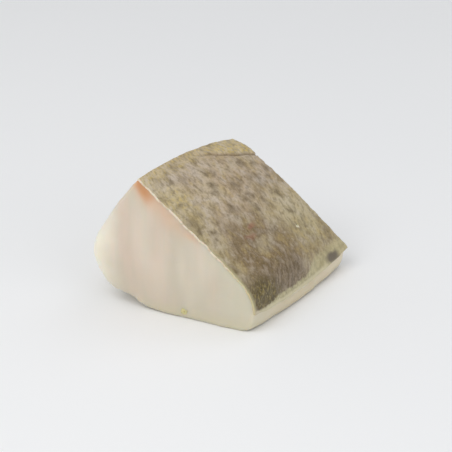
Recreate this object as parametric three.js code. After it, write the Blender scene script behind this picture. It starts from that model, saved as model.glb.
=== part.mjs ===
// A portion of salted cod loin, cut across a thick fillet and still in its skin.
// Millimetres, +Z up. +X runs across the loin, down the slope of the skin. +Y runs along the fish,
// away from the front cut. The origin is on the ground, under the middle of the portion's box.
import * as THREE from 'three';

const { lerp, smoothstep } = THREE.MathUtils;

// Length of the portion between its two cuts, and how far each cut drifts along the fish
// for every millimetre across, because the knife was not held square to the fish.
const LENGTH = 76;
const CUT_DRIFT = 0.106;

// The skin is a sheet of its own. It stands a little proud of the flesh at both cuts.
const SKIN_THICKNESS = 0.9;
const SKIN_GAP = 0.3;
const SKIN_PROUD = 0.4;
const SKIN_DEPTH = SKIN_THICKNESS + SKIN_GAP;

// The flesh swells a little at each cut. Its flakes leave low steps there, which bow round a height
// halfway up the cut: FLAKE_BOW is the bow in millimetres for a square millimetre of height.
const CUT_SWELL = 0.9;
const FLAKE_HEIGHT = 0.22;
const FLAKE_WIDTH = 9;
const FLAKE_BOW = 0.012;
const FLAKE_MIDDLE = 26;

// Flake edges on the side that faced the backbone: their height, their pitch along the fish, and
// how far they lean along the fish for every millimetre up.
const SIDE_FLAKE_HEIGHT = 0.35;
const SIDE_FLAKE_PITCH = 9.5;
const SIDE_FLAKE_LEAN = 0.55;

// A flake's step rises over this share of its width, and falls back over the rest.
const FLAKE_RISE = 0.8;

// The flesh comes out from under the skin over this share of the foot, and of the side at the ridge.
const FOOT_TUCK = 0.6;
const SIDE_TUCK = 0.2;

// Rows of faces: across the skin, up the side, along the fish, and round each softened rim.
const ACROSS = 24;
const UP = 11;
const ALONG = 24;
const RIM = 3;
const RING = 2 * (ACROSS + UP);

// Outline of the loin in three sections: the front cut, midway, and the back cut.
// Every point is [across, height]. The skin runs from the ridge down to its lower edge, the foot is
// the strip of bare flesh below it, the base lies flat and then lifts, and the side climbs to the ridge.
const frontSection = {
  skin: [[-3.8, 60.6], [5.6, 53.0], [23.6, 38.4], [40.6, 24.2], [47.2, 17.0], [49.2, 9.1]],
  foot: [[49.2, 9.1], [47.6, 5.0], [45.2, 1.6], [41.6, 0]],
  flat: [41.6, 4.5],
  lift: [[4.5, 0], [-2.4, 0.9], [-8.6, 3.4], [-15.4, 4.7], [-21.0, 7.0], [-25.2, 12.0]],
  side: [[-25.2, 12.0], [-28.6, 18.6], [-29.2, 24.6], [-25.0, 33.2], [-14.6, 48.4], [-3.8, 60.6]],
};
const middleSection = {
  skin: [[-4.3, 58.7], [4.8, 52.6], [22.0, 39.4], [38.6, 25.4], [46.6, 17.2], [50.4, 6.3]],
  foot: [[50.4, 6.3], [50.0, 3.6], [49.0, 1.2], [46.8, 0]],
  flat: [46.8, 5.0],
  lift: [[5.0, 0], [-1.5, 0.7], [-7.6, 2.8], [-14.2, 4.2], [-20.0, 6.4], [-24.4, 11.2]],
  side: [[-24.4, 11.2], [-27.6, 17.4], [-28.2, 23.4], [-24.6, 31.8], [-14.6, 46.6], [-4.3, 58.7]],
};
const backSection = {
  skin: [[-4.9, 51.2], [2.0, 49.2], [9.6, 43.8], [27.6, 29.9], [43.0, 16.6], [51.3, 9.2]],
  foot: [[51.3, 9.2], [50.6, 5.6], [48.8, 2.0], [45.0, 0]],
  flat: [45.0, 5.0],
  lift: [[5.0, 0], [-0.8, 0.6], [-5.8, 2.3], [-11.4, 3.6], [-16.4, 5.6], [-20.4, 10.0]],
  side: [[-20.4, 10.0], [-23.2, 15.6], [-23.6, 21.0], [-20.4, 28.2], [-13.0, 40.2], [-4.9, 51.2]],
};

// Radius of the softened rim at each cut, at even stops along each stretch of the outline. length
// stretches the rim along the fish: the back end tapers off the ground more than the front one.
const frontRim = {
  length: 1, skin: [0.4, 0.4], foot: [0.4, 2.0], base: [2.0, 5.0], side: [5.0, 6.0, 0.4],
};
const backRim = {
  length: 2, skin: [0.4, 1.2], foot: [1.2, 3.0], base: [3.0, 3.0], side: [3.0, 3.0, 0.4],
};

const flatPoint = ([across, height]) => new THREE.Vector3(across, 0, height);
const through = (points) => new THREE.CatmullRomCurve3(points.map(flatPoint), false, 'centripetal');

// The base is a straight line on the ground that runs into the curve of its lifted part.
function baseCurve({ flat: [right, left], lift }) {
  const base = new THREE.CurvePath();
  base.add(new THREE.LineCurve3(flatPoint([right, 0]), flatPoint([left, 0])));
  base.add(through(lift));
  return base;
}

// The closed outline of a section, as RING points that start at the ridge.
function sectionRing(section) {
  const stretches = [
    [through(section.skin), ACROSS],
    [through(section.foot), UP],
    [baseCurve(section), ACROSS],
    [through(section.side), UP],
  ];
  return stretches.flatMap(([curve, steps]) =>
    Array.from({ length: steps }, (_, step) => curve.getPointAt(step / steps)));
}

const rings = [frontSection, middleSection, backSection].map(sectionRing);

// A point of the loin's outline, between the three sections on a smooth curve through all of them.
// along is 0 at the front cut and 1 at the back cut. No point goes below the ground.
function outlinePoint(index, along) {
  const weights = [(1 - along) * (1 - 2 * along), 4 * along * (1 - along), along * (2 * along - 1)];
  const place = (index + RING) % RING;
  const point = new THREE.Vector3();
  rings.forEach((ring, section) => point.addScaledVector(ring[place], weights[section]));
  point.z = Math.max(point.z, 0);
  return point;
}

// The outline's outward direction at a point, from its neighbours before and after.
function outwards(before, after) {
  const run = after.clone().sub(before).normalize();
  return new THREE.Vector3(-run.z, 0, run.x);
}

function skinNormal(index, along) {
  const before = outlinePoint(Math.max(index - 1, 0), along);
  const after = outlinePoint(Math.min(index + 1, ACROSS), along);
  return outwards(before, after);
}

const outlineNormal = (index, along) =>
  outwards(outlinePoint(index - 1, along), outlinePoint(index + 1, along));

// Where a ring index lies: the name of its stretch, and how far along that stretch, from 0 to 1.
function stretchOf(index) {
  if (index <= ACROSS) return ['skin', index / ACROSS];
  if (index <= ACROSS + UP) return ['foot', (index - ACROSS) / UP];
  if (index <= 2 * ACROSS + UP) return ['base', (index - ACROSS - UP) / ACROSS];
  return ['side', (index - 2 * ACROSS - UP) / UP];
}

// The rim radius at a ring index, between the two nearest stops of its stretch.
function rimRadius(index, rim) {
  const [name, share] = stretchOf(index);
  const stops = rim[name];
  const position = share * (stops.length - 1);
  const stop = Math.min(Math.floor(position), stops.length - 2);
  return lerp(stops[stop], stops[stop + 1], position - stop);
}

// The flesh lies under the skin by the skin's depth, and meets the outline again below the skin's
// lower edge and on the far side of the ridge.
function fleshOutline(index, along) {
  const point = outlinePoint(index, along);
  const [name, share] = stretchOf(index);
  if (name === 'skin') {
    point.addScaledVector(skinNormal(index, along), -SKIN_DEPTH);
  } else if (name === 'foot') {
    const tuck = 1 - smoothstep(share, 0, FOOT_TUCK);
    point.addScaledVector(skinNormal(ACROSS, along), -SKIN_DEPTH * tuck);
  } else if (name === 'side') {
    const tuck = smoothstep(share, 1 - SIDE_TUCK, 1);
    point.addScaledVector(skinNormal(0, along), -SKIN_DEPTH * tuck);
  }
  return point;
}

// The height of a flake's step, from 0 to 1. A whole number is the edge of a flake.
function flakeStep(position) {
  const place = position - Math.floor(position);
  return smoothstep(place, 0, FLAKE_RISE) - smoothstep(place, FLAKE_RISE, 1);
}

// Low steps on the side, one for each flake, leaning along the fish as they climb.
function sideFlake(index, reach, height) {
  const [name, share] = stretchOf(index);
  if (name !== 'side') return 0;
  const position = (reach + SIDE_FLAKE_LEAN * height) / SIDE_FLAKE_PITCH;
  return SIDE_FLAKE_HEIGHT * flakeStep(position) * Math.sin(Math.PI * share);
}

// A point of the flesh: inset is how far it lies inside the outline, reach how far from the front cut.
function fleshPoint(index, reach, inset) {
  const along = reach / LENGTH;
  const point = fleshOutline(index, along);
  const lift = inset === 0 ? sideFlake(index, reach, point.z) : 0;
  point.addScaledVector(outlineNormal(index, along), lift - inset);
  point.y = reach + CUT_DRIFT * point.x;
  return point;
}

// The rings of the flesh, from the front cut to the back one: a rounded rim, the body, a rounded rim.
function fleshRings() {
  const indices = Array.from({ length: RING }, (_, index) => index);
  const rounded = (step) => {
    const angle = (step / RIM) * (Math.PI / 2);
    return { inset: 1 - Math.sin(angle), reach: 1 - Math.cos(angle) };
  };
  const result = [];
  for (let step = 0; step <= RIM; step += 1) {
    const { inset, reach } = rounded(step);
    result.push(indices.map((index) => {
      const radius = rimRadius(index, frontRim);
      return fleshPoint(index, frontRim.length * radius * reach, radius * inset);
    }));
  }
  for (let row = 1; row < ALONG; row += 1) {
    result.push(indices.map((index) => {
      const start = frontRim.length * rimRadius(index, frontRim);
      const end = LENGTH - backRim.length * rimRadius(index, backRim);
      return fleshPoint(index, lerp(start, end, row / ALONG), 0);
    }));
  }
  for (let step = RIM; step >= 0; step -= 1) {
    const { inset, reach } = rounded(step);
    result.push(indices.map((index) => {
      const radius = rimRadius(index, backRim);
      return fleshPoint(index, LENGTH - backRim.length * radius * reach, radius * inset);
    }));
  }
  return result;
}

// Faint steps where the flakes of flesh end at a cut.
function cutFlake(across, height) {
  const bowed = across + FLAKE_BOW * (height - FLAKE_MIDDLE) ** 2;
  return FLAKE_HEIGHT * flakeStep(bowed / FLAKE_WIDTH);
}

// A cut face fills its rim ring with a patch of ACROSS by UP faces, blended from its four sides.
// outward is -1 at the front cut and 1 at the back one. inside is 0 at the rim and 1 in the middle.
function cutFace(rim, outward) {
  const reach = rim[0].y - CUT_DRIFT * rim[0].x;
  const skin = (column) => rim[column];
  const foot = (row) => rim[ACROSS + UP - row];
  const base = (column) => rim[2 * ACROSS + UP - column];
  const side = (row) => rim[(2 * ACROSS + UP + row) % RING];
  const face = [];
  for (let row = 0; row <= UP; row += 1) {
    const v = row / UP;
    const line = [];
    for (let column = 0; column <= ACROSS; column += 1) {
      const u = column / ACROSS;
      const point = new THREE.Vector3()
        .addScaledVector(base(column), 1 - v).addScaledVector(skin(column), v)
        .addScaledVector(side(row), 1 - u).addScaledVector(foot(row), u)
        .addScaledVector(base(0), -(1 - u) * (1 - v)).addScaledVector(base(ACROSS), -u * (1 - v))
        .addScaledVector(skin(0), -(1 - u) * v).addScaledVector(skin(ACROSS), -u * v);
      const inside = Math.sin(Math.PI * u) * Math.sin(Math.PI * v);
      const swell = CUT_SWELL * inside + cutFlake(point.x, point.z) * Math.sqrt(inside);
      point.y = reach + CUT_DRIFT * point.x + outward * swell;
      line.push(point);
    }
    face.push(line);
  }
  return face;
}

// Collects triangles. Points that fall on the same place are stored once.
class Solid {
  constructor() {
    this.places = new Map();
    this.positions = [];
    this.faces = [];
  }

  vertex(point) {
    const key = point.toArray().map((value) => value.toFixed(4)).join(' ');
    if (!this.places.has(key)) {
      this.places.set(key, this.positions.length / 3);
      this.positions.push(point.x, point.y, point.z);
    }
    return this.places.get(key);
  }

  triangle(a, b, c) {
    const corners = [a, b, c].map((point) => this.vertex(point));
    if (new Set(corners).size === 3) this.faces.push(...corners);
  }

  // Four corners, anticlockwise as seen from outside.
  quad(a, b, c, d) {
    this.triangle(a, b, c);
    this.triangle(a, c, d);
  }

  geometry() {
    const geometry = new THREE.BufferGeometry();
    geometry.setAttribute('position', new THREE.Float32BufferAttribute(this.positions, 3));
    geometry.setIndex(this.faces);
    geometry.computeVertexNormals();
    return geometry;
  }
}

// Adds a grid of points, given as rows, as quads. flipped turns its faces the other way.
function addGrid(solid, rows, flipped = false) {
  for (let row = 0; row + 1 < rows.length; row += 1) {
    for (let column = 0; column + 1 < rows[row].length; column += 1) {
      const corners = [
        rows[row][column], rows[row][column + 1], rows[row + 1][column + 1], rows[row + 1][column],
      ];
      solid.quad(...(flipped ? corners.reverse() : corners));
    }
  }
}

function fleshGeometry() {
  const solid = new Solid();
  const loft = fleshRings();
  addGrid(solid, loft.map((ring) => [...ring, ring[0]]));
  addGrid(solid, cutFace(loft[0], -1));
  addGrid(solid, cutFace(loft[loft.length - 1], 1), true);
  return solid.geometry();
}

function skinGeometry() {
  const layer = (depth) => Array.from({ length: ALONG + 1 }, (_, row) => {
    const reach = lerp(-SKIN_PROUD, LENGTH + SKIN_PROUD, row / ALONG);
    const along = reach / LENGTH;
    return Array.from({ length: ACROSS + 1 }, (__, index) => {
      const point = outlinePoint(index, along).addScaledVector(skinNormal(index, along), -depth);
      point.y = reach + CUT_DRIFT * point.x;
      return point;
    });
  });
  const outer = layer(0);
  const inner = layer(SKIN_THICKNESS);
  const column = (rows, index) => rows.map((row) => row[index]);
  const solid = new Solid();
  addGrid(solid, outer);
  addGrid(solid, inner, true);
  addGrid(solid, [inner[0], outer[0]]);
  addGrid(solid, [inner[ALONG], outer[ALONG]], true);
  addGrid(solid, [column(inner, 0), column(outer, 0)], true);
  addGrid(solid, [column(inner, ACROSS), column(outer, ACROSS)]);
  return solid.geometry();
}

const fleshMaterial = new THREE.MeshStandardMaterial({ color: '#d6cbb8', roughness: 0.42, metalness: 0 });
const skinMaterial = new THREE.MeshStandardMaterial({ color: '#968769', roughness: 0.48, metalness: 0 });

function namedMesh(name, geometry, material) {
  const mesh = new THREE.Mesh(geometry, material);
  mesh.name = name;
  return mesh;
}

const group = new THREE.Group();
group.name = 'cod_loin_portion';
group.add(namedMesh('flesh', fleshGeometry(), fleshMaterial));
group.add(namedMesh('skin', skinGeometry(), skinMaterial));

// Stand the portion with its box centred over the origin.
const box = new THREE.Box3().setFromObject(group);
const middle = box.getCenter(new THREE.Vector3());
group.position.set(-middle.x, -middle.y, -box.min.z);

export default group;
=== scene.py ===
# %% [markdown]
# # A portion of salted cod loin
#
# The real piece is a thick wedge cut across the fish, about as long as a palm. It lies on one cut side, and
# its skin slopes down from a ridge. It could be sculpted from nothing, but the packed solids already give
# its size and place, and other tools rely on them. So this script keeps their form and adds the finish:
# moist, slightly glassy flesh, and a thin mottled skin with a pale cut edge.

import math

import bpy
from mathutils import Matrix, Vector


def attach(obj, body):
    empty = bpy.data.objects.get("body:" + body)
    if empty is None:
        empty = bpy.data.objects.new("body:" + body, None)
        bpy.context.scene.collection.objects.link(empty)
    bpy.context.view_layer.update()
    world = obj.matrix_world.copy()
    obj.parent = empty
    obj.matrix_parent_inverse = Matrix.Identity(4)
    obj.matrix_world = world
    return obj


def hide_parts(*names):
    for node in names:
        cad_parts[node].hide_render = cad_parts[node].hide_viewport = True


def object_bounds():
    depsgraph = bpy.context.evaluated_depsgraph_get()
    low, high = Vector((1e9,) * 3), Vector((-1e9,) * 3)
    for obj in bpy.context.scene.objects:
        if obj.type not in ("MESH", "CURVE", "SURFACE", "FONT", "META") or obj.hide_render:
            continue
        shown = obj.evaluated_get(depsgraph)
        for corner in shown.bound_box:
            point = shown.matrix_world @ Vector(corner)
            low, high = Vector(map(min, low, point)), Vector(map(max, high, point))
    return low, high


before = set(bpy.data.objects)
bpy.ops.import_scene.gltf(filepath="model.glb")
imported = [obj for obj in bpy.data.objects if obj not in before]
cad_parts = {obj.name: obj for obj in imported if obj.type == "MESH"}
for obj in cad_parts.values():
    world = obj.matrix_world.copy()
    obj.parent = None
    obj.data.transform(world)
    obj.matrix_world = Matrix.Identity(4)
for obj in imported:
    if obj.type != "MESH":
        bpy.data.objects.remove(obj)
cad_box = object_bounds()
print("solids:", sorted(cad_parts), "box in metres:", [list(corner) for corner in cad_box])

# %% [markdown]
# ## The photographer's view
#
# The picture was taken with a long lens, from 25 degrees above the table and a third of a right angle to
# the side of the front cut. A camera could be placed by eye, but a long lens keeps the far end of the fish
# nearly as large as the near end, so the lens matters as much as the angle. Both were worked out from the
# picture. The camera comes first, because every later choice is judged by it.

# %% Camera
MM = 0.001
PICTURE_PIXELS = 452
FOCAL_PIXELS = 1800
SENSOR_MM = 36
VIEW_AZIMUTH = math.radians(31.2)
VIEW_HEIGHT = math.radians(25)
VIEW_DISTANCE = 774 * MM
VIEW_AIM = Vector((3.8, -1.75, 28.2)) * MM


def direction(azimuth, height):
    """The way from the fish to something that stands round it at that azimuth and height."""
    level = math.cos(height)
    return Vector((math.sin(azimuth) * level, -math.cos(azimuth) * level, math.sin(height)))


def look(thing, away, distance, aim):
    """Put a camera or a lamp at a distance from aim, looking at it."""
    thing.location = aim + away * distance
    thing.rotation_euler = (-away).to_track_quat("-Z", "Y").to_euler()


bpy.ops.object.camera_add()
camera = bpy.context.active_object
camera.name = "photo_view"
camera.data.sensor_width = SENSOR_MM
camera.data.lens = FOCAL_PIXELS / PICTURE_PIXELS * SENSOR_MM
look(camera, direction(VIEW_AZIMUTH, VIEW_HEIGHT), VIEW_DISTANCE, VIEW_AIM)
bpy.context.scene.camera = camera
print("lens in mm:", round(camera.data.lens, 1), "distance in m:", VIEW_DISTANCE)

# %% [markdown]
# ## The flesh, from its solid
#
# Raw cod is a stack of flakes that glisten but hardly show on a clean cut. Its form is already right in the
# solid: a flat front cut with a soft rim, a rounded side, and a base that lifts off at the left. A new body
# could be built from a cube, but it would then drift from the solid, so the flesh starts as a copy. An
# operator acts on whatever is selected, so one piece is picked first. Then the copy's loose triangles are
# merged and turned back into squares.

# %% Copy the solid flesh
SAME_PLACE = 0.01 * MM
CRISP_ANGLE = math.radians(38)


def pick(piece):
    """Make one piece the only selected and active one."""
    bpy.ops.object.select_all(action="DESELECT")
    piece.select_set(True)
    bpy.context.view_layer.objects.active = piece


def copy_of_solid(node, title):
    """A merged copy of a packed solid, in squares where that is possible."""
    piece = bpy.data.objects.new(title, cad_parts[node].data.copy())
    bpy.context.scene.collection.objects.link(piece)
    piece.data.materials.clear()
    pick(piece)
    bpy.ops.object.mode_set(mode="EDIT")
    bpy.ops.mesh.select_all(action="SELECT")
    bpy.ops.mesh.remove_doubles(threshold=SAME_PLACE)
    bpy.ops.mesh.tris_convert_to_quads(face_threshold=CRISP_ANGLE, shape_threshold=CRISP_ANGLE * 2)
    bpy.ops.mesh.select_all(action="DESELECT")
    bpy.ops.object.mode_set(mode="OBJECT")
    return piece


flesh = copy_of_solid("flesh", "cod_flesh")
print("faces after merging:", len(flesh.data.polygons))

# %% [markdown]
# The cut faces meet the side in a crisp but not sharp edge, as a knife leaves it. A bevel would need an even
# width all round, so the edges are creased instead, and a subdivision surface rounds everything else. The
# modifier is applied at once, so that no piece is left with live modifiers.

# %% Crease and smooth the flesh
EDGE_CREASE = 0.8


def apply_modifier(piece, title, kind, **settings):
    """Add a modifier, give it its settings and apply it."""
    pick(piece)
    modifier = piece.modifiers.new(title, kind)
    for setting, value in settings.items():
        setattr(modifier, setting, value)
    bpy.ops.object.modifier_apply(modifier=title)


pick(flesh)
bpy.ops.object.mode_set(mode="EDIT")
bpy.ops.mesh.select_mode(type="EDGE")
bpy.ops.mesh.edges_select_sharp(sharpness=CRISP_ANGLE)
bpy.ops.transform.edge_crease(value=EDGE_CREASE)
bpy.ops.mesh.select_all(action="DESELECT")
bpy.ops.object.mode_set(mode="OBJECT")
apply_modifier(flesh, "smooth", "SUBSURF", levels=2, render_levels=2)
print("flesh faces:", len(flesh.data.polygons))

# %% [markdown]
# The skin clings to the flesh without a gap. Both solids are a little plainer than the real thing, and the
# rippled skin made below would stand clear of them. It could be pushed down, but its outside must stay where
# the solid has it. So the flesh under it is raised by half a millimetre. A vertex group says where, and the
# push goes square to the skin, as a share along X and a share along Z.

# %% A bed for the skin
SKIN_SLOPE = math.radians(40)
skin_outwards = Vector((math.sin(SKIN_SLOPE), 0, math.cos(SKIN_SLOPE)))
SKIN_BED = 0.5 * MM
UNDER_SKIN = 0.45 * MM
CLEAR_OF_SKIN = 1.1 * MM


def soft_step(value, low, high):
    """0 below low, 1 above high, and a smooth rise between them."""
    share = min(max((value - low) / (high - low), 0), 1)
    return share * share * (3 - 2 * share)


def mark_vertices(piece, title, weight_of):
    """A vertex group whose weight at each vertex comes from weight_of(vertex), from 0 to 1."""
    group = piece.vertex_groups.new(name=title)
    marked = 0
    for vertex in piece.data.vertices:
        weight = weight_of(vertex)
        if weight > 0:
            group.add([vertex.index], weight, "REPLACE")
            marked += 1
    print(piece.name, "vertices marked as", title + ":", marked)


def carries_skin(vertex):
    """1 on the flesh that lies just under the solid skin."""
    _, nearest, _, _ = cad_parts["skin"].closest_point_on_mesh(vertex.co)
    return 1 - soft_step((nearest - vertex.co).length, UNDER_SKIN, CLEAR_OF_SKIN)


mark_vertices(flesh, "bed", carries_skin)
for way, share in (("X", skin_outwards.x), ("Z", skin_outwards.z)):
    apply_modifier(flesh, "bed", "DISPLACE", strength=SKIN_BED * share, mid_level=0, direction=way,
                   vertex_group="bed")

# %% [markdown]
# ## Lumps and fibres
#
# A knife leaves the cut faces almost flat, with faint upright fibres, while the rounded side is softly
# lumpy. That could be painted as bump, but the outline would stay dead straight. So the surface itself is
# displaced with cloud patterns. The fibres use the same pattern, measured with a long ruler: an empty
# object stretched upwards stretches the pattern too.

# %% Relief of the flesh
FACES_SKIN = (0.75, 0.9)
FACES_CUT = (0.6, 0.95)
CLEAR_OF_BASE = (0.2 * MM, 1.5 * MM)
LONG_RULER = (1, 1, 14)


def bare(vertex):
    """1 on the flesh that shows, 0 under the skin and on the base."""
    under_skin = soft_step(vertex.normal.dot(skin_outwards), *FACES_SKIN)
    return (1 - under_skin) * soft_step(vertex.co.z, *CLEAR_OF_BASE)


def on_cut(vertex):
    """1 on the front and back cuts."""
    return bare(vertex) * soft_step(abs(vertex.normal.y), *FACES_CUT)


def press_relief(piece, title, grain, depth, group="", way="NORMAL", ruler=None):
    """Push the surface in and out with a cloud pattern whose lumps are about grain wide."""
    clouds = bpy.data.textures.new(title, "CLOUDS")
    clouds.noise_scale = grain
    clouds.noise_depth = 2
    settings = {"texture": clouds, "strength": depth, "mid_level": 0.5, "vertex_group": group}
    settings |= {"direction": way, "texture_coords": "OBJECT" if ruler else "LOCAL"}
    if ruler:
        settings["texture_coords_object"] = ruler
    apply_modifier(piece, title, "DISPLACE", **settings)


mark_vertices(flesh, "bare", bare)
mark_vertices(flesh, "cut", on_cut)
press_relief(flesh, "soft lumps", grain=13 * MM, depth=0.9 * MM, group="bare")
press_relief(flesh, "small lumps", grain=4 * MM, depth=0.22 * MM, group="bare")

bpy.ops.object.empty_add(location=(0, 0, 0))
long_ruler = bpy.context.active_object
long_ruler.scale = LONG_RULER
bpy.context.view_layer.update()
press_relief(flesh, "fibres", grain=1.6 * MM, depth=0.14 * MM, group="cut", ruler=long_ruler)
bpy.data.objects.remove(long_ruler)
flesh.vertex_groups.clear()

# %% [markdown]
# ## Resting on the table
#
# Soft flesh settles: its rim spreads on the table, and at the lower left a small lip curls out. A soft body
# simulation could do that, but would change the size of the whole. Two small displacements, each kept in
# place by a vertex group, give the same look. What went below the table is set back on it.

# %% Settle the rim and raise the lip
SAG = 0.8 * MM
SAG_HEIGHTS = (0.5 * MM, 6 * MM)
FACES_TABLE = (-0.98, -0.8)
LIP = Vector((-15.7, -41.2, 4.0)) * MM
LIP_HEIGHT = 0.9 * MM
LIP_CORE = 0.8 * MM
LIP_REACH = 3.6 * MM


def near_table(vertex):
    """1 on the rim that meets the table, 0 on the flat base and higher up."""
    low = 1 - soft_step(vertex.co.z, *SAG_HEIGHTS)
    return low * soft_step(vertex.normal.z, *FACES_TABLE)


def on_lip(vertex):
    """1 at the middle of the lip, 0 beyond its reach."""
    return 1 - soft_step((vertex.co - LIP).length, LIP_CORE, LIP_REACH)


mark_vertices(flesh, "foot", near_table)
apply_modifier(flesh, "foot", "DISPLACE", strength=SAG, mid_level=0, vertex_group="foot")
for vertex in flesh.data.vertices:
    vertex.co.z = max(vertex.co.z, 0)
flesh.vertex_groups.clear()

mark_vertices(flesh, "lip", on_lip)
apply_modifier(flesh, "lip", "DISPLACE", strength=LIP_HEIGHT, mid_level=0, vertex_group="lip")
flesh.vertex_groups.clear()

pick(flesh)
bpy.ops.object.shade_smooth_by_angle(angle=CRISP_ANGLE)
print("flesh lowest point in mm:", round(min(vertex.co.z for vertex in flesh.data.vertices) / MM, 2))

# %% [markdown]
# ## The skin, from a flat grid
#
# The skin is a thin sheet that follows the back of the fish. A copy of the solid would bring its triangles
# along, and they have no map for the markings. So the skin starts as a flat grid with its own UV map. The
# solid's outer face is itself a grid of rows, and each corner of the new grid is laid on the matching one.

# %% Read the outer corners of the solid skin
CELLS = 24
CUT_DRIFT = 0.106


def skin_corners():
    """The corners of the solid skin's outer face: rows along the fish, each from the ridge down."""
    down = Vector((math.cos(SKIN_SLOPE), 0, -math.sin(SKIN_SLOPE)))
    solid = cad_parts["skin"].data
    places = {tuple(round(value, 6) for value in vertex.co) for vertex in solid.vertices}
    reach = {place: place[1] - CUT_DRIFT * place[0] for place in places}
    start, end = min(reach.values()), max(reach.values())
    rows = [[] for _ in range(CELLS + 1)]
    for place in places:
        rows[round((reach[place] - start) / (end - start) * CELLS)].append(Vector(place))
    for row in rows:
        row.sort(key=lambda corner: corner.dot(down))
    pairs = [[row[i:i + 2] for i in range(0, len(row), 2)] for row in rows]
    return [[max(pair, key=lambda corner: corner.dot(skin_outwards)) for pair in row] for row in pairs]


corners = skin_corners()
print("rows and columns of the skin:", len(corners), {len(row) for row in corners})

# %% [markdown]
# A mesh built by hand would have no UV map, but a grid primitive brings an even one. Where a corner lies
# tells its row and column, so each can take the place of its match on the fish.

# %% Lay a grid on the corners
bpy.ops.mesh.primitive_grid_add(x_subdivisions=CELLS, y_subdivisions=CELLS, size=1, calc_uvs=True)
skin = bpy.context.active_object
skin.name = "cod_skin"
for vertex in skin.data.vertices:
    column = round((vertex.co.x + 0.5) * CELLS)
    row = round((vertex.co.y + 0.5) * CELLS)
    vertex.co = corners[row][column]
print("corners laid:", len(skin.data.vertices))

# %% [markdown]
# Every marking of the skin has a place on the fish, so the map has to say where that is. It is scaled to
# decimetres, so one unit is 100 mm: u runs down the slope, v along the fish. A remesh would lose the map, so
# a subdivision surface refines the sheet, to cells of 0.4 mm, fine enough for a real groove and ripples.

# %% Measure the skin's map and refine the sheet
SKIN_DOWN = 0.755
SKIN_ALONG = 0.768
skin_map = skin.data.uv_layers.active
skin_map.name = "skin_map"
for corner in skin_map.data:
    corner.uv = (corner.uv[0] * SKIN_DOWN, corner.uv[1] * SKIN_ALONG)
apply_modifier(skin, "refine", "SUBSURF", levels=3, render_levels=3, uv_smooth="NONE",
               boundary_smooth="PRESERVE_CORNERS")


def map_places(piece):
    """For each vertex, how far down the slope and along the fish it lies, in decimetres."""
    places = {}
    for loop, mapped in zip(piece.data.loops, piece.data.uv_layers["skin_map"].data):
        places[loop.vertex_index] = tuple(mapped.uv)
    return places


skin_places = map_places(skin)
print("skin cells:", len(skin.data.polygons))

# %% [markdown]
# ## Crease and fold
#
# Near the back end the real skin is creased where it folds over the back of the fish. The crease starts at
# the ridge and runs down to the back cut, and the strip above it sits a little proud. It could be cut in as
# edges, but it has to fade at its start. So two vertex groups follow one formula on the map: one presses
# the groove in, the other lifts the strip.

# %% Crease the skin
CREASE_START = 0.30
CREASE_FALL = 0.305
CREASE_FADE = 0.3
CREASE_HALF_WIDTH = 0.009
CREASE_DEPTH = 0.55 * MM
FOLD_HEIGHT = 0.25 * MM
BROAD_WAVE = (0.004, 23)
SHORT_WAVE = (0.002, 61)


def crease_gap(down, along):
    """How far below the crease a place lies, in decimetres. Above the crease it is negative."""
    wave = sum(height * math.sin(turns * along) for height, turns in (BROAD_WAVE, SHORT_WAVE))
    return down - CREASE_FALL * (along - CREASE_START) - wave


def crease_opening(along):
    """The crease opens slowly from its start at the ridge."""
    return soft_step(along, CREASE_START, CREASE_START + CREASE_FADE)


def in_crease(vertex):
    """1 in the middle of the groove, 0 beside it."""
    down, along = skin_places[vertex.index]
    return crease_opening(along) * (1 - soft_step(abs(crease_gap(down, along)), 0, CREASE_HALF_WIDTH))


def above_crease(vertex):
    """1 on the folded strip above the groove."""
    down, along = skin_places[vertex.index]
    return crease_opening(along) * (1 - soft_step(crease_gap(down, along), -3 * CREASE_HALF_WIDTH, 0))


for title, weigh, push in (("crease", in_crease, -CREASE_DEPTH), ("fold", above_crease, FOLD_HEIGHT)):
    mark_vertices(skin, title, weigh)
    apply_modifier(skin, title, "DISPLACE", strength=push, mid_level=0, vertex_group=title)
    mask = skin.data.attributes.new(title + "_mask", "FLOAT", "POINT")
    for vertex in skin.data.vertices:
        mask.data[vertex.index].value = weigh(vertex)

# %% [markdown]
# The sheet is gently rippled, and its cut edges wander a little, as a knife leaves them. A crumpled sheet
# could come from a cloth simulation, but this skin is held flat by the flesh. Three cloud patterns, from
# broad to fine, ripple it, and three more move its rims sideways. The rim at the ridge and the cuts slide
# level, the foot slides up and down.

# %% Ripples and wandering edges
EDGE_REACH = 0.02


def at_edge(gap):
    """1 where the gap to an edge is nothing, 0 beyond EDGE_REACH."""
    return 1 - soft_step(gap, 0, EDGE_REACH)


def near_cut(vertex):
    along = skin_places[vertex.index][1]
    return at_edge(min(along, SKIN_ALONG - along))


def near_foot(vertex):
    return at_edge(SKIN_DOWN - skin_places[vertex.index][0])


def near_ridge(vertex):
    return at_edge(skin_places[vertex.index][0])


for title, grain, depth in (("broad ripples", 11, 0.8), ("fine ripples", 3, 0.22), ("pores", 0.9, 0.1)):
    press_relief(skin, title, grain=grain * MM, depth=depth * MM)
    print(title, "are", depth, "mm deep")
for title, weigh, grain, depth, way in (("cut", near_cut, 4, 1.6, "Y"), ("foot", near_foot, 7, 1.2, "Z"),
                                        ("ridge", near_ridge, 5, 1.2, "X")):
    mark_vertices(skin, title, weigh)
    press_relief(skin, "wandering " + title, grain * MM, depth * MM, group=title, way=way)
skin.vertex_groups.clear()

# %% [markdown]
# The skin is about a millimetre thick. Extruding the sheet by hand would fold its corners, so Solidify gives
# it its thickness, inwards, and puts the new rim in a second material slot: the cut edge is pale, because
# only the outer layer of skin holds colour. A narrow bevel rounds that edge.

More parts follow.
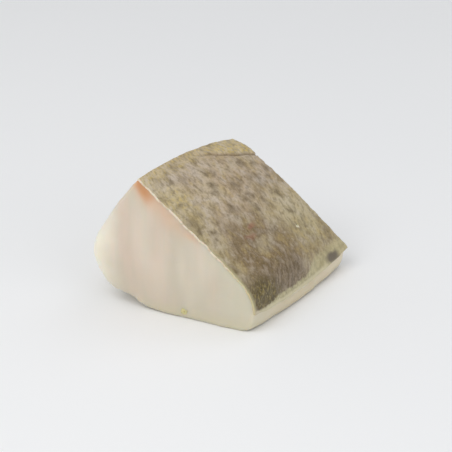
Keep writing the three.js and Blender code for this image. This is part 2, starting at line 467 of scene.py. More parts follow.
# %% Thicken the skin
SKIN_THICKNESS = 1.0 * MM
RIM_ROUNDING = 0.12 * MM
RIM_ANGLE = math.radians(50)
SKIN_SMOOTH = math.radians(60)
for title in ("skin_placeholder", "skin_edge_placeholder"):
    skin.data.materials.append(bpy.data.materials.new(title))
apply_modifier(skin, "thickness", "SOLIDIFY", thickness=SKIN_THICKNESS, offset=-1, material_offset_rim=1)
apply_modifier(skin, "rounded edge", "BEVEL", width=RIM_ROUNDING, segments=2, limit_method="ANGLE",
               angle_limit=RIM_ANGLE)
pick(skin)
bpy.ops.object.shade_smooth_by_angle(angle=SKIN_SMOOTH)
print("skin faces:", len(skin.data.polygons))

# %% [markdown]
# ## Two flecks
#
# A scrap of yellow membrane clings to the foot of the front cut, and a loose pale scale to the skin. They
# could be painted on, but up close they stand off the surface. Each is a small ball, roughened, flattened
# and half sunk, so that it doesn't float. A ray from outside finds its place.

# %% Flecks on flesh and skin
MEMBRANE_PLACE = Vector((5.2, -41, 3.6)) * MM
MEMBRANE_HALF_WIDTH = 1.7 * MM
SCALE_PLACE = Vector((26.5, 21.1, 24.6)) * MM
SCALE_HALF_WIDTH = 1.0 * MM
FLAT_AS_A_SCRAP = (1, 0.75, 0.16)
RAY_START = 20 * MM


def fleck(title, carrier, place, towards, half_width):
    """A rough, flattened ball on the surface of carrier, where a ray from place meets it."""
    found, spot, normal, _ = carrier.ray_cast(place - towards * RAY_START, towards)
    bpy.ops.mesh.primitive_ico_sphere_add(subdivisions=4, radius=half_width, location=spot)
    piece = bpy.context.active_object
    piece.name = title
    bpy.ops.object.transform_apply(location=True, rotation=False, scale=False)
    press_relief(piece, title, grain=half_width * 0.7, depth=half_width * 1.1)
    bpy.ops.object.origin_set(type="ORIGIN_GEOMETRY", center="MEDIAN")
    piece.scale = FLAT_AS_A_SCRAP
    piece.rotation_euler = normal.to_track_quat("Z", "Y").to_euler()
    piece.location = spot
    bpy.ops.object.transform_apply(location=True, rotation=True, scale=True)
    bpy.ops.object.shade_smooth()
    print(title, "found its surface:", found)
    return piece


membrane = fleck("cod_membrane", flesh, MEMBRANE_PLACE, Vector((0, 1, 0)), MEMBRANE_HALF_WIDTH)
loose_scale = fleck("cod_scale", skin, SCALE_PLACE, -skin_outwards, SCALE_HALF_WIDTH)

# %% [markdown]
# ## Materials: the toolbox
#
# A finish on fish is many faint layers of colour over each other. They could be painted on an image, but
# nodes stay sharp at any size and follow a changed shape. Colours come first. They are easiest to judge as
# they are seen, from 0 to 255, but a shader adds up light, so each is turned into linear light.

# %% Colours as they are seen
def seen(red, green, blue):
    """A colour as the eye sees it, from 0 to 255, turned into linear light."""
    def linear(value):
        value /= 255
        return value / 12.92 if value <= 0.04045 else ((value + 0.055) / 1.055) ** 2.4
    return (linear(red), linear(green), linear(blue), 1)


print("a middle grey holds this share of the light:", round(seen(128, 128, 128)[0], 3))

# %% [markdown]
# A material is a network of nodes. They could be placed by hand, but a fish needs hundreds. These helpers
# add one node each and return its output, so that a recipe reads like a sum: a noise is turned into a mask
# by a step, and the mask blends one colour into the next.

# %% Node helpers
class Recipe:
    """Adds nodes to one node tree. Every method returns the socket that carries its result."""

    def __init__(self, tree):
        self.tree = tree

    def feed(self, socket, value):
        """Link a socket to the output of another node, or give it a plain value."""
        if isinstance(value, bpy.types.NodeSocket):
            self.tree.links.new(value, socket)
        else:
            socket.default_value = value

    def add(self, kind, inputs=(), output=0, **settings):
        """Any node: its settings are set first, then its inputs are fed."""
        node = self.tree.nodes.new(kind)
        for setting, value in settings.items():
            setattr(node, setting, value)
        for name, value in dict(inputs).items():
            self.feed(node.inputs[name], value)
        return node.outputs[output]

    def math(self, kind, first, second=0.0):
        return self.add("ShaderNodeMath", {0: first, 1: second}, operation=kind)

    def plus(self, first, second):
        return self.math("ADD", first, second)

    def minus(self, first, second):
        return self.math("SUBTRACT", first, second)

    def times(self, *masks):
        """All masks multiplied, from left to right."""
        result = masks[0]
        for mask in masks[1:]:
            result = self.math("MULTIPLY", result, mask)
        return result

    def larger(self, first, second):
        return self.math("MAXIMUM", first, second)

    def vectors(self, kind, first, second, output=0):
        return self.add("ShaderNodeVectorMath", {0: first, 1: second}, output, operation=kind)

    def split(self, vector):
        node = self.tree.nodes.new("ShaderNodeSeparateXYZ")
        self.feed(node.inputs[0], vector)
        return node.outputs

    def step(self, value, low, high, start=0.0, end=1.0):
        """A smooth change from start to end as value goes from low to high."""
        return self.add("ShaderNodeMapRange", {"Value": value, "From Min": low, "From Max": high,
                                               "To Min": start, "To Max": end},
                        interpolation_type="SMOOTHSTEP")

    def blend(self, mask, first, second):
        return self.add("ShaderNodeMix", {0: mask, 6: first, 7: second}, output=2, data_type="RGBA")

    def stretch(self, place, scale, turn=(0, 0, 0), shift=(0, 0, 0)):
        """Read a place with another scale, then turned, then shifted."""
        return self.add("ShaderNodeMapping", {"Vector": place, "Scale": scale, "Rotation": turn,
                                              "Location": shift})

    def noise(self, place, scale, detail=2.0, roughness=0.5, output=0):
        return self.add("ShaderNodeTexNoise", {"Vector": place, "Scale": scale, "Detail": detail,
                                               "Roughness": roughness}, output)

    def bend(self, place, ruler, scale, detail, reach):
        """Move place by up to half of reach each way, with a noise read at ruler."""
        drift = self.vectors("SUBTRACT", self.noise(ruler, scale, detail, output="Color"), (0.5, 0.5, 0.5))
        drift = self.add("ShaderNodeVectorMath", {0: drift, "Scale": reach}, operation="SCALE")
        return self.vectors("ADD", place, drift)

    def spot(self, place, centre, size, soft):
        """1 inside an ellipse of those half widths, fading to 0 outside it."""
        scale = tuple(1 / half for half in size)
        shift = tuple(-middle * factor for middle, factor in zip(centre, scale))
        local = self.stretch(place, scale, shift=shift)
        radius = self.add("ShaderNodeVectorMath", {0: local}, output="Value", operation="LENGTH")
        return self.step(radius, 1 - soft, 1 + soft, 1.0, 0.0)

    def measure(self, title):
        print(title, "- nodes so far:", len(self.tree.nodes))


print("node helpers:", sum(not name.startswith("_") for name in vars(Recipe)))

# %% [markdown]
# Every material starts from the Principled shader, which can be fish skin as well as a table. A number that
# is the same all over could be a node too, but is easier to find on the shader itself.

# %% Start of a material
def new_material(title, **constants):
    """A material whose plain numbers are set straight on its shader. Returns it, its recipe and shader."""
    material = bpy.data.materials.new(title)
    material.use_nodes = True
    recipe = Recipe(material.node_tree)
    shader = material.node_tree.nodes["Principled BSDF"]
    for socket, value in constants.items():
        shader.inputs[socket.replace("_", " ")].default_value = value
    print("material", title, "starts with", sorted(constants))
    return material, recipe, shader


# %% [markdown]
# ## The moist film
#
# Wet food shines unevenly: a film of moisture fills the low places and leaves the high ones duller. One
# roughness for all would look like plastic. Flesh and skin both need the film, so it is a node group, built
# once and used with its own grain in each material. It puts out a roughness, and a height for the bump.

# %% Node group for the moist film
BEADS_IN_A_POOL = 5.0
BEAD_HEIGHT = 0.3
POOL_EDGE = (0.35, 0.65)

film = bpy.data.node_groups.new("moist_film", "ShaderNodeTree")
for socket, kind in (("Place", "NodeSocketVector"), ("Grain", "NodeSocketFloat"),
                     ("Dullest", "NodeSocketFloat"), ("Shiniest", "NodeSocketFloat")):
    film.interface.new_socket(name=socket, in_out="INPUT", socket_type=kind)
for socket in ("Roughness", "Height"):
    film.interface.new_socket(name=socket, in_out="OUTPUT", socket_type="NodeSocketFloat")
inside = Recipe(film)
asked = film.nodes.new("NodeGroupInput").outputs
given = film.nodes.new("NodeGroupOutput").inputs
pools = inside.noise(asked["Place"], asked["Grain"], detail=3.0)
beads = inside.noise(asked["Place"], inside.times(asked["Grain"], BEADS_IN_A_POOL), detail=2.0)
wet = inside.step(pools, *POOL_EDGE)
inside.feed(given["Roughness"], inside.add("ShaderNodeMapRange", {
    "Value": wet, "To Min": asked["Dullest"], "To Max": asked["Shiniest"]}))
inside.feed(given["Height"], inside.plus(inside.times(beads, BEAD_HEIGHT), pools))


def moist_film(recipe, place, grain, dullest, shiniest):
    """The film's roughness and height in one material, from a node that stands for the whole group."""
    node = recipe.tree.nodes.new("ShaderNodeGroup")
    node.node_tree = film
    for socket, value in (("Place", place), ("Grain", grain), ("Dullest", dullest), ("Shiniest", shiniest)):
        recipe.feed(node.inputs[socket], value)
    return node.outputs["Roughness"], node.outputs["Height"]


inside.measure("moist film")

# %% [markdown]
# ## The flesh material
#
# Cod flesh is cream, not white: greyer and pinker inside, with a yellowish painted highlight at its lit left
# rim. Light enters it and comes out nearby. A plain pale colour would look like chalk, so subsurface
# scattering lets the light in. All of its patterns read the Object coordinates: across the fish, along it
# and up.

# %% Flesh colours and shader
PALE_CREAM_AND_RIM_LIGHT = seen(252, 247, 230)
CREAM_PINK = seen(221, 203, 185)
CREAM_GREY = seen(212, 201, 182)
CREAM_GREEN = seen(217, 212, 190)
CREAM_LOW_SHADE = seen(206, 199, 179)
CREAM_TABLE_SHADE = seen(208, 200, 173)
CREAM_WARM = seen(232, 216, 188)
CREAM_SHADE = seen(180, 168, 138)
PEACH = seen(228, 190, 158)
RUST = seen(210, 152, 104)
SEAM = seen(206, 184, 160)

flesh_material, cook, flesh_shader = new_material(
    "cod_flesh", IOR=1.38, Subsurface_Weight=0.7, Subsurface_Scale=3.5 * MM, Coat_Weight=0.12,
    Coat_Roughness=0.22, Specular_IOR_Level=0.45)
flesh_shader.inputs["Subsurface Radius"].default_value = (1.0, 0.8, 0.55)
place = cook.add("ShaderNodeTexCoord", output="Object")
across, along, up = cook.split(place)
cook.measure("flesh place")

# %% [markdown]
# The cut shows upright streaks of pink and grey cream, with paler veils over them. One noise would repeat
# one size of streak, so two of different sizes are mixed. Both are stretched upwards by reading the height
# more slowly than the width. Then come the broad changes: painted shade that darkens it low down, greener
# to the right, and a painted highlight that makes the lit left rim almost white.

# %% Streaks of the cream, painted low shade and painted rim highlight
FINE_STREAKS = (330, 150, 22)
BROAD_STREAKS = (95, 60, 22)
VEILS = (60, 60, 16)
CLOUD_SCALE = 60.0

streaks = cook.noise(cook.stretch(place, FINE_STREAKS), 1.0, detail=3.0, roughness=0.6)
zones = cook.noise(cook.stretch(place, BROAD_STREAKS), 1.0)
clouds = cook.noise(place, CLOUD_SCALE)
mood = cook.plus(cook.times(streaks, 0.25), cook.times(zones, 0.75))
colour = cook.blend(cook.step(mood, 0.41, 0.59), CREAM_PINK, CREAM_GREY)
veil = cook.noise(cook.stretch(place, VEILS, shift=(2, 1, 0)), 1.0)
colour = cook.blend(cook.step(veil, 0.45, 0.75, 0.0, 0.24), colour, PALE_CREAM_AND_RIM_LIGHT)
# Painted shade: the cream is darkened low down on the cut.
colour = cook.blend(cook.step(up, 3 * MM, 26 * MM, 0.45, 0.0), colour, CREAM_LOW_SHADE)
towards_right = cook.plus(across, cook.times(clouds, 20 * MM))
colour = cook.blend(cook.step(towards_right, 18 * MM, 46 * MM, 0.0, 0.7), colour, CREAM_GREEN)
# Painted highlight: the lit left rim is painted almost white.
towards_left = cook.plus(across, cook.times(clouds, 14 * MM))
colour = cook.blend(cook.step(towards_left, -36 * MM, -15 * MM, 1.0, 0.0), colour, PALE_CREAM_AND_RIM_LIGHT)
cook.measure("cream")

# %% [markdown]
# Round the far side the flesh isn't cut through its flakes but along them, so they show as leaning bands
# with a thin seam between them. They could be modelled one by one, but they hardly stand out on raw fish. A
# repeating count along a leaning line gives each flake's place, and clouds bend it.

# %% Flakes on the far side
FLAKE_PITCH = 9.5 * MM
FLAKE_LEAN = 0.55
FLAKE_BEND = 9 * MM
SEAM_WIDTH = 1.0 * MM

leaning = cook.plus(along, cook.times(up, FLAKE_LEAN))
leaning = cook.plus(leaning, cook.times(cook.minus(clouds, 0.5), FLAKE_BEND))
flake = cook.math("FRACT", cook.math("DIVIDE", leaning, FLAKE_PITCH))
between_cuts = cook.step(cook.math("ABSOLUTE", along), 24 * MM, 34 * MM, 1.0, 0.0)
far_side = cook.times(between_cuts, cook.step(across, 0.0, 20 * MM, 1.0, 0.0))
seam = cook.step(cook.math("PINGPONG", leaning, FLAKE_PITCH / 2), 0.0, SEAM_WIDTH, 1.0, 0.0)
seam = cook.times(seam, far_side)
colour = cook.blend(cook.times(cook.step(flake, 0.1, 0.95, 0.0, 0.35), far_side), colour, PALE_CREAM_AND_RIM_LIGHT)
colour = cook.blend(cook.times(seam, cook.step(zones, 0.35, 0.65, 0.1, 0.35)), colour, SEAM)
# Painted shade: the flesh is darker and greener in the lowest 8 mm, next to the table.
colour = cook.blend(cook.step(up, 0.5 * MM, 8 * MM, 0.7, 0.0), colour, CREAM_TABLE_SHADE)
below_skin = cook.step(across, 35 * MM, 39.5 * MM)
colour = cook.blend(cook.times(below_skin, 0.65), colour, CREAM_WARM)
# Painted shade: the strip under the skin darkens further towards the table.
colour = cook.blend(cook.times(below_skin, cook.step(up, 0.0, 5 * MM, 0.75, 0.0)), colour, CREAM_SHADE)
cook.measure("flakes")

# %% [markdown]
# Just under the ridge a rusty stain shows where the dark muscle lies against the skin. A peach glow follows
# the skin from there, with a small pink stain halfway down and a greener border below it. Painted by height
# or width alone they would leave the skin's edge, so they are placed by two measures of their own: how far
# down the skin's edge a point lies, and how deep under it.

# %% Stains along the skin
FRONT_CUT = cad_box[0][1]
EDGE_TOP = Vector((-14.7, 0, 60.6)) * MM
EDGE_DOWN = Vector((0.773, 0, -0.634))
EDGE_IN = Vector((-0.634, 0, -0.773))

from_edge = cook.vectors("SUBTRACT", place, EDGE_TOP)
edge_run = cook.vectors("DOT_PRODUCT", from_edge, EDGE_DOWN, "Value")
edge_depth = cook.vectors("DOT_PRODUCT", from_edge, EDGE_IN, "Value")
at_front = cook.step(along, FRONT_CUT + 4 * MM, FRONT_CUT + 14 * MM, 1.0, 0.0)
wisps = cook.times(cook.minus(clouds, 0.5), 10 * MM)
depth = cook.plus(edge_depth, wisps)
run = cook.plus(edge_run, wisps)

by_edge = cook.step(depth, 1.0 * MM, 5.5 * MM, 1.0, 0.0)
border = cook.times(by_edge, cook.step(edge_run, 36 * MM, 54 * MM, 0.0, 0.9))
colour = cook.blend(border, colour, CREAM_GREEN)
glow = cook.times(cook.step(depth, 1 * MM, 10 * MM, 1.0, 0.0), cook.step(run, 8 * MM, 44 * MM, 0.75, 0.0))
colour = cook.blend(cook.times(glow, at_front), colour, PEACH)
stain = cook.times(cook.step(depth, 1.5 * MM, 6.5 * MM, 1.0, 0.0), cook.step(run, 4 * MM, 12 * MM, 0.9, 0.0))
colour = cook.blend(cook.times(stain, at_front), colour, RUST)
halfway = cook.times(cook.step(run, 26 * MM, 32 * MM), cook.step(run, 33 * MM, 39 * MM, 1.0, 0.0))
colour = cook.blend(cook.times(by_edge, halfway, 0.7), colour, PEACH)
cook.measure("stains")

# %% [markdown]
# On the real cut the film of moisture breaks up along the fibres and sinks into the seams. The film could
# go on alone, but it would then lie on the flesh like glass. So the streaks are added to its height, and the
# seams are taken off it.

# %% Gloss of the flesh
FLESH_FILM = {"grain": 160.0, "dullest": 0.5, "shiniest": 0.34}
SEAM_DEPTH = 0.8
FIBRE_RELIEF = 0.3 * MM


def bump(recipe, shader, height, strength, distance):
    """Let a height tilt the light on the surface without moving it."""
    normal = recipe.add("ShaderNodeBump", {"Height": height, "Strength": strength, "Distance": distance})
    recipe.feed(shader.inputs["Normal"], normal)


cook.feed(flesh_shader.inputs["Base Color"], colour)
roughness, height = moist_film(cook, place, **FLESH_FILM)
cook.feed(flesh_shader.inputs["Roughness"], roughness)
height = cook.minus(cook.plus(height, streaks), cook.times(seam, SEAM_DEPTH))
bump(cook, flesh_shader, height, strength=0.3, distance=FIBRE_RELIEF)
flesh.data.materials.append(flesh_material)
print("flesh materials:", [material.name for material in flesh.data.materials])

# %% [markdown]
# ## The skin material
#
# The skin is a lilac grey that turns khaki towards its back and lower parts, under a dense pattern of olive
# brown spots. A picture of a skin would carry someone's light and blur up close, so each marking is a mask
# on the skin's own map. A mask alone has a clean border that no animal has, so the map is bent by noise
# before the masks read it.

# %% Skin colours and map
MAUVE = seen(190, 168, 138)
LILAC = seen(204, 190, 174)
KHAKI = seen(188, 174, 128)
PALE = seen(204, 191, 162)
SAND = seen(212, 194, 146)
STRAW = seen(190, 166, 108)
OCHRE = seen(212, 184, 96)
BROWN = seen(124, 102, 66)
OLIVE = seen(92, 74, 34)
REDDISH = seen(150, 92, 70)

skin_material, dye, skin_shader = new_material(
    "cod_skin", IOR=1.4, Coat_Weight=0.35, Coat_Roughness=0.18, Specular_IOR_Level=0.4)
sheet = dye.add("ShaderNodeUVMap", uv_map="skin_map")
bent = dye.bend(sheet, sheet, scale=14.0, detail=2.0, reach=0.06)
down, along, _ = dye.split(bent)
true_down, true_along, _ = dye.split(sheet)
dye.measure("skin map")

# %% [markdown]
# First the broad tints, as on any animal: the pattern comes later and lies over them. They are soft ellipses
# on the bent map. An ellipse alone would show its outline, so two noises lie over them: one drifts between
# straw and lilac, a broader one between brown and pale.

# %% Broad tints of the skin
def patch(colour, tint, strength, centre, size, soft=0.6):
    """Tint the skin inside a soft, bent ellipse: centre and half widths are down and along."""
    mask = dye.spot(bent, (*centre, 0), (*size, 1), soft)
    return dye.blend(dye.times(mask, strength), colour, tint)


KHAKI_PATCHES = ((0.8, (0.54, 0.64), (0.20, 0.20)), (0.5, (0.20, 0.07), (0.15, 0.10)),
                 (0.8, (0.52, 0.02), (0.22, 0.08)))
BROWN_PATCH = (0.95, (0.55, 0.25), (0.19, 0.24), 0.7)
LILAC_PATCH = (0.5, (0.07, 0.20), (0.05, 0.16))
HUE_GRAIN = (16, 21, 1)
BROAD_GRAIN = 5.5

colour = MAUVE
for khaki_patch in KHAKI_PATCHES:
    colour = patch(colour, KHAKI, *khaki_patch, soft=0.8)
colour = patch(colour, BROWN, *BROWN_PATCH)
colour = patch(colour, LILAC, *LILAC_PATCH)
hue = dye.noise(dye.stretch(sheet, HUE_GRAIN, shift=(3, 5, 0)), 1.0, detail=3.0, roughness=0.6)
colour = dye.blend(dye.step(hue, 0.5, 0.64, 0.0, 0.45), colour, STRAW)
colour = dye.blend(dye.step(hue, 0.5, 0.36, 0.0, 0.35), colour, LILAC)
broad = dye.noise(sheet, BROAD_GRAIN, detail=1.0)
colour = dye.blend(dye.step(broad, 0.5, 0.66, 0.0, 0.28), colour, BROWN)
colour = dye.blend(dye.step(broad, 0.5, 0.34, 0.0, 0.36), colour, PALE)
dye.measure("broad tints")

# %% [markdown]
# The faint pale lateral line, by which the fish feels the water, runs along its side in a shallow curve. It
# could be drawn as a curve object, but a formula on the map is enough: the distance to a parabola. Above
# the crease and along the ridge, where the back of the fish begins, the ground is sandy.

# %% Lateral line and sandy ridge
LINE_DOWN = 0.42
LINE_CURVE = 0.2
LINE_REACH = 0.04
PALE_SPOT = (0.6, (0.26, 0.62), (0.022, 0.034))
CORNER_PLACE, CORNER_SIZE = (0.16, 0.09, 0), (0.07, 0.07, 1)

line = dye.times(dye.minus(dye.times(along, along), dye.times(along, 2.0)), LINE_CURVE)
line = dye.plus(line, LINE_DOWN)
by_line = dye.step(dye.math("ABSOLUTE", dye.minus(down, line)), 0.0, LINE_REACH, 0.25, 0.0)
colour = dye.blend(by_line, colour, LILAC)
colour = patch(colour, LILAC, *PALE_SPOT)

fold = dye.add("ShaderNodeAttribute", output="Fac", attribute_name="fold_mask")
ridge = dye.step(down, 0.02, 0.08, 0.6, 0.0)
front_corner = dye.times(dye.spot(bent, CORNER_PLACE, CORNER_SIZE, 0.6), 0.5)
sandy = dye.larger(dye.larger(fold, ridge), front_corner)
colour = dye.blend(dye.times(sandy, 0.6), colour, SAND)
dye.measure("lateral line and ridge")

# %% [markdown]
# A dark band runs along the lower part of the skin and ends in an olive corner at the front. Up close it
# isn't one colour but dark, upright strokes on a lighter ground. So each part is a blend of two tones by a
# stretched noise, laid in its place. A mapping node stretches before it turns, which would leave the strokes
# as they lie, so the map is turned first, in a node of its own.

# %% Dark band and corner
DARK_BAND = seen(140, 123, 102)
BAND_SHADE = seen(100, 84, 62)
DARK_CORNER = seen(82, 70, 30)
CORNER_SPECKS = seen(138, 122, 68)
BAND_STROKES = (26, 70, 1)
CORNER_STROKES = (40, 85, 1)
OLIVE_PATCH = (0.92, (0.71, 0.08), (0.085, 0.13), 0.5)
UPRIGHT_TURN = (0, 0, 0.6)
upright = dye.stretch(sheet, (1, 1, 1), turn=UPRIGHT_TURN)


def stroked(ground, shade, pattern, low, high):
    """Two tones, mixed in upright strokes. The pattern says how many fit in a decimetre each way."""
    grain = dye.noise(dye.stretch(upright, pattern), 1.0, detail=3.0, roughness=0.6)
    return dye.blend(dye.step(grain, low, high), ground, shade)


in_band = dye.times(dye.step(down, 0.56, 0.66), dye.step(along, 0.38, 0.50, 1.0, 0.0), 0.85)
colour = dye.blend(in_band, colour, stroked(DARK_BAND, BAND_SHADE, BAND_STROKES, 0.42, 0.6))
olive_corner = stroked(DARK_CORNER, CORNER_SPECKS, CORNER_STROKES, 0.44, 0.62)
colour = patch(colour, olive_corner, *OLIVE_PATCH)
dye.measure("band and corner")

# %% [markdown]
# The spots of a cod lie in loose rows, with frayed borders, and paler skin shows between them. Plain noise
# has no such spacing. A Voronoi pattern has, because it grows from spread points: the distance to the
# nearest point is small inside a spot and large between spots. Its rows are turned on the skin, and a
# second, finer noise frays it. Large and small spots use the same helper.

# %% Spots
SPOT_SCATTER = 0.75
SPOT_FRAY = 0.9
LARGE_SPOTS = {"pitch_down": 0.062, "pitch_along": 0.068, "turn": 0.45, "core": 0.0, "reach": 0.62}
SMALL_SPOTS = {"pitch_down": 0.034, "pitch_along": 0.028, "turn": 0.3, "core": 0.08, "reach": 0.5}
frayed = dye.bend(bent, sheet, scale=60.0, detail=2.0, reach=0.018)


def smudges(pitch_down, pitch_along, turn, core, reach):
    """1 in the middle of each smudge, 0 between them. They lie in rows, turned on the skin."""
    rows = dye.stretch(frayed, (1 / pitch_down, 1 / pitch_along, 1), turn=(0, 0, turn))
    gap = dye.add("ShaderNodeTexVoronoi", {"Vector": rows, "Scale": 1.0, "Randomness": SPOT_SCATTER})
    ragged = dye.minus(dye.noise(rows, 1.4, detail=3.0), 0.5)
    gap = dye.plus(gap, dye.times(ragged, SPOT_FRAY))
    return dye.step(gap, core, reach, 1.0, 0.0), dye.step(gap, reach, 0.9, 0.0, 1.0)


fading = dye.step(dye.noise(sheet, 15.0, detail=3.0), 0.36, 0.6, 0.2, 1.0)
fading = dye.larger(fading, dye.step(down, 0.3, 0.5, 0.85, 0.0))
smudge, between = smudges(**LARGE_SPOTS)
between = dye.times(between, dye.step(down, 0.28, 0.58, 0.52, 0.1))
colour = dye.blend(between, colour, dye.blend(dye.step(down, 0.24, 0.46), LILAC, PALE))
strength = dye.step(down, 0.3, 0.5, 0.74, 0.56)
colour = dye.blend(dye.times(smudge, fading, strength), colour, OLIVE)
small_smudge, _ = smudges(**SMALL_SPOTS)
colour = dye.blend(dye.times(small_smudge, 0.3), colour, OLIVE)
dye.measure("spots")

# %% [markdown]
# Between and over the spots the real skin is never plain: it has short strokes, upright on its lower half,
# a fine speckle, ochre specks on the sandy parts, and two small reddish marks. One very detailed noise could
# hold them all, but one noise or patch for each is easier to judge.

# %% Strokes, speckle and small marks
STROKES_ABOVE = (44, 54, 1)
STROKES_BELOW = (26, 58, 1)
SPECKLE = (106, 110, 1)
RED_MARKS = ((0.5, (0.417, 0.309), (0.012, 0.03)), (0.4, (0.448, 0.249), (0.012, 0.03)))


def strokes(ruler, pattern, strength):
    """Short strokes, as many in a decimetre of the ruler as the pattern says."""
    return dye.step(dye.noise(dye.stretch(ruler, pattern), 1.0), 0.48, 0.66, 0.0, strength)


above = dye.times(strokes(sheet, STROKES_ABOVE, 0.36), dye.step(down, 0.2, 0.4, 1.0, 0.2))
below = dye.times(strokes(upright, STROKES_BELOW, 0.38), dye.step(down, 0.15, 0.35, 0.2, 1.0))
colour = dye.blend(above, colour, OLIVE)
colour = dye.blend(below, colour, OLIVE)
speckle = dye.noise(dye.stretch(sheet, SPECKLE), 1.0)
colour = dye.blend(dye.step(speckle, 0.5, 0.72, 0.0, 0.2), colour, OLIVE)
colour = dye.blend(dye.step(speckle, 0.5, 0.28, 0.0, 0.16), colour, LILAC)
specks = dye.step(dye.noise(sheet, 56.0, detail=3.0), 0.48, 0.66, 0.0, 0.7)
colour = dye.blend(dye.times(sandy, specks), colour, OCHRE)
for red_mark in RED_MARKS:
    colour = patch(colour, REDDISH, *red_mark)
dye.measure("small marks")

# %% [markdown]
# Along the foot the outer layer has worn off, and a pale greenish margin shows. Its upper border runs
# nearly straight, then rises towards the back and grows soft there. So the border is a height that changes
# along the fish, and the distance to it, made ragged by noise, says where the margin is. Its hem is worn
# almost to the flesh. A dark oval spot lies near the back, a lilac one at the front.

# %% Pale margin along the foot
PALE_MARGIN = seen(194, 184, 144)
GREEN_GREY = seen(160, 152, 118)
WORN_HEM = seen(210, 200, 166)
SPOT_GREY = seen(104, 94, 82)
BORDER_RAGGED = 0.03
HEM = (0.735, 0.748)
DARK_OVAL = (0.9, (0.735, 0.655), (0.024, 0.045), 0.45)
LILAC_END = (0.75, (0.75, 0.0), (0.026, 0.028), 0.5)

ragged = dye.times(dye.minus(dye.noise(sheet, 45.0, detail=3.0), 0.5), BORDER_RAGGED)
border = dye.step(true_along, 0.0, 0.2, 0.765, 0.722)
border = dye.plus(border, dye.step(true_along, 0.42, 0.55, 0.0, -0.055))
below_border = dye.minus(dye.plus(true_down, ragged), border)
softness = dye.step(true_along, 0.45, 0.62, 0.008, 0.045)
worn = dye.times(dye.step(below_border, -0.006, softness), dye.step(speckle, 0.4, 0.65, 1.0, 0.7),
                 dye.step(true_along, 0.44, 0.6, 1.0, 0.8))
mottling = dye.step(dye.noise(bent, 38.0, detail=3.0), 0.4, 0.62, 0.0, 0.7)
colour = dye.blend(worn, colour, dye.blend(mottling, PALE_MARGIN, GREEN_GREY))
hem = dye.step(dye.plus(true_down, dye.times(ragged, 0.5)), *HEM)
colour = dye.blend(dye.times(hem, dye.step(true_along, 0.56, 0.64, 0.85, 0.0)), colour, WORN_HEM)
colour = patch(colour, SPOT_GREY, *DARK_OVAL)
colour = patch(colour, LILAC, *LILAC_END)
dye.measure("margin")

# %% [markdown]
# Last come the painted shade that darkens the groove of the crease, which reads the mask that was stored
# with the shape, and a worn fringe along the front cut. Then the gloss: the moist film over a fine relief of
# scales.
# Cod scales are under two millimetres wide, too small to model, so a smooth Voronoi pattern raises them as
# bump.

# %% Painted groove shade, fringe and gloss
GROOVE_SHADE = seen(104, 84, 56)
SCALES = (60, 80, 1)
SCALE_HEIGHT = 0.8
SCALE_RELIEF = 0.25 * MM
SKIN_FILM = {"grain": 30.0, "dullest": 0.55, "shiniest": 0.38}

crease = dye.add("ShaderNodeAttribute", output="Fac", attribute_name="crease_mask")
# Painted shade: the crease is darkened where its groove lies.
colour = dye.blend(dye.times(crease, 0.5), colour, GROOVE_SHADE)
fringe = dye.times(dye.step(true_along, 0.0, 0.022, 0.7, 0.0), dye.step(true_down, 0.3, 0.5, 0.35, 1.0))
colour = dye.blend(fringe, colour, PALE_MARGIN)
dye.feed(skin_shader.inputs["Base Color"], colour)
roughness, height = moist_film(dye, sheet, **SKIN_FILM)
dye.feed(skin_shader.inputs["Roughness"], roughness)
scales = dye.add("ShaderNodeTexVoronoi", {"Vector": dye.stretch(sheet, SCALES), "Scale": 1.0},
                 feature="SMOOTH_F1")
height = dye.plus(height, dye.times(scales, SCALE_HEIGHT))
bump(dye, skin_shader, height, strength=0.35, distance=SCALE_RELIEF)
skin.data.materials[0] = skin_material
dye.measure("skin")

# %% [markdown]
# The cut edge of the skin shows its inner layer: cream near the ridge, more yellow lower down, and a little
# darker where it is bruised. It could share the skin's material, but none of the markings reach through the
# sheet, so it has its own, in the slot that Solidify filled.

# %% Cut edge of the skin
DERMIS_TOP = seen(238, 224, 201)
DERMIS_LOW = seen(208, 198, 152)
DERMIS_SHADE = seen(204, 184, 152)

edge_material, trim, edge_shader = new_material(
    "cod_skin_edge", IOR=1.4, Subsurface_Weight=0.2, Subsurface_Scale=1.0 * MM, Roughness=0.45)
place = trim.add("ShaderNodeTexCoord", output="Object")
height = trim.plus(trim.split(place)[2], trim.times(trim.noise(place, 260.0, detail=3.0), 20 * MM))
lower = trim.step(height, 28 * MM, 44 * MM, 1.0, 0.0)
bruised = trim.step(trim.noise(place, 420.0, detail=3.0), 0.48, 0.66, 0.0, 0.6)
rim_colour = trim.blend(lower, DERMIS_TOP, DERMIS_LOW)
trim.feed(edge_shader.inputs["Base Color"], trim.blend(bruised, rim_colour, DERMIS_SHADE))
skin.data.materials[1] = edge_material
trim.measure("cut edge")

# %% [markdown]
# ## The two flecks
#
# The membrane is a dull yellow, the loose scale a pale sand colour, and both are darker where they are
# thicker. They could share one material, but their colours differ, so a loop makes the recipe twice.

# %% Materials of the two flecks
FLECK_GRAIN = 900.0
MEMBRANE_TONES = (seen(212, 204, 152), seen(188, 168, 112))
SCALE_TONES = (seen(222, 212, 180), seen(196, 180, 138))

for piece, (thin, thick) in ((membrane, MEMBRANE_TONES), (loose_scale, SCALE_TONES)):
    material, tint, shader = new_material(piece.name, IOR=1.4, Subsurface_Weight=0.3,
                                          Subsurface_Scale=0.8 * MM, Roughness=0.4)
    place = tint.add("ShaderNodeTexCoord", output="Object")
    thickness = tint.step(tint.noise(place, FLECK_GRAIN), 0.55, 0.7)
    tint.feed(shader.inputs["Base Color"], tint.blend(thickness, thin, thick))
    piece.data.materials.append(material)
    tint.measure(piece.name)

# %% [markdown]
# ## Table and light
#
# The fish is shown as a studio would show food: on a plain pale table. A backdrop could be bent up behind
# it, but from above a large flat sheet fills the picture just as well. It is only a stage, not a piece.

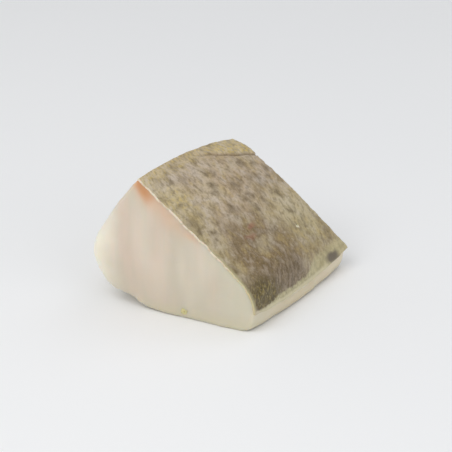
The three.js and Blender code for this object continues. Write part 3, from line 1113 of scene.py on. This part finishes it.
# %% Table
TABLE_SIZE = 6
TABLE_TONES = (seen(247, 247, 248), seen(250, 250, 250))
bpy.ops.mesh.primitive_plane_add(size=TABLE_SIZE)
floor = bpy.context.active_object
floor.name = "table"
floor_material, paint, floor_shader = new_material("table", Roughness=0.6, Specular_IOR_Level=0.2)
shade = paint.noise(paint.add("ShaderNodeTexCoord", output="Object"), 3.0)
table_colour = paint.blend(shade, *TABLE_TONES)
paint.feed(floor_shader.inputs["Base Color"], table_colour)
floor.data.materials.append(floor_material)
print("table in m:", list(floor.dimensions))

# %% [markdown]
# Food wants soft light. One sun would cut hard shadows and burn out the wet flesh. So a large lamp high on
# the left gives the light its direction and a soft shadow to the right, two weaker ones open the shadows,
# and a pale sky fills the rest. The view transform is Standard, because it keeps colours as they were noted.

# %% Lamps and sky
SKY_COLOUR = (0.96, 0.98, 1, 1)
SKY_STRENGTH = 0.5
LAMP_DISTANCE = 1.2


def softbox(title, azimuth, height, size, power):
    """A square lamp that looks at the fish from that azimuth and height, in degrees."""
    bpy.ops.object.light_add(type="AREA")
    lamp = bpy.context.active_object
    lamp.name = title
    lamp.data.size = size
    lamp.data.energy = power
    look(lamp, direction(math.radians(azimuth), math.radians(height)), LAMP_DISTANCE, VIEW_AIM)
    print(title, "watts:", power)


softbox("key_light", -15, 50, 1.0, 6)
softbox("right_light", 75, 30, 1.0, 2.5)
softbox("back_light", 160, 55, 0.8, 1.5)

sky = bpy.data.worlds.new("studio")
sky.use_nodes = True
sky.node_tree.nodes["Background"].inputs["Color"].default_value = SKY_COLOUR
sky.node_tree.nodes["Background"].inputs["Strength"].default_value = SKY_STRENGTH
bpy.context.scene.world = sky
bpy.context.scene.view_settings.view_transform = "Standard"

# %% [markdown]
# ## Hand over
#
# The library has to know what each finished piece belongs to. Flesh and skin take the place of their
# solids, and the two flecks only ride along.

# %% Hand the pieces over
for piece, node, slot in ((flesh, "flesh", "flesh"), (skin, "skin", "skin")):
    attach(piece, "root")
    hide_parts(node)
for piece, slot in ((membrane, "flesh"), (loose_scale, "skin")):
    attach(piece, "root")
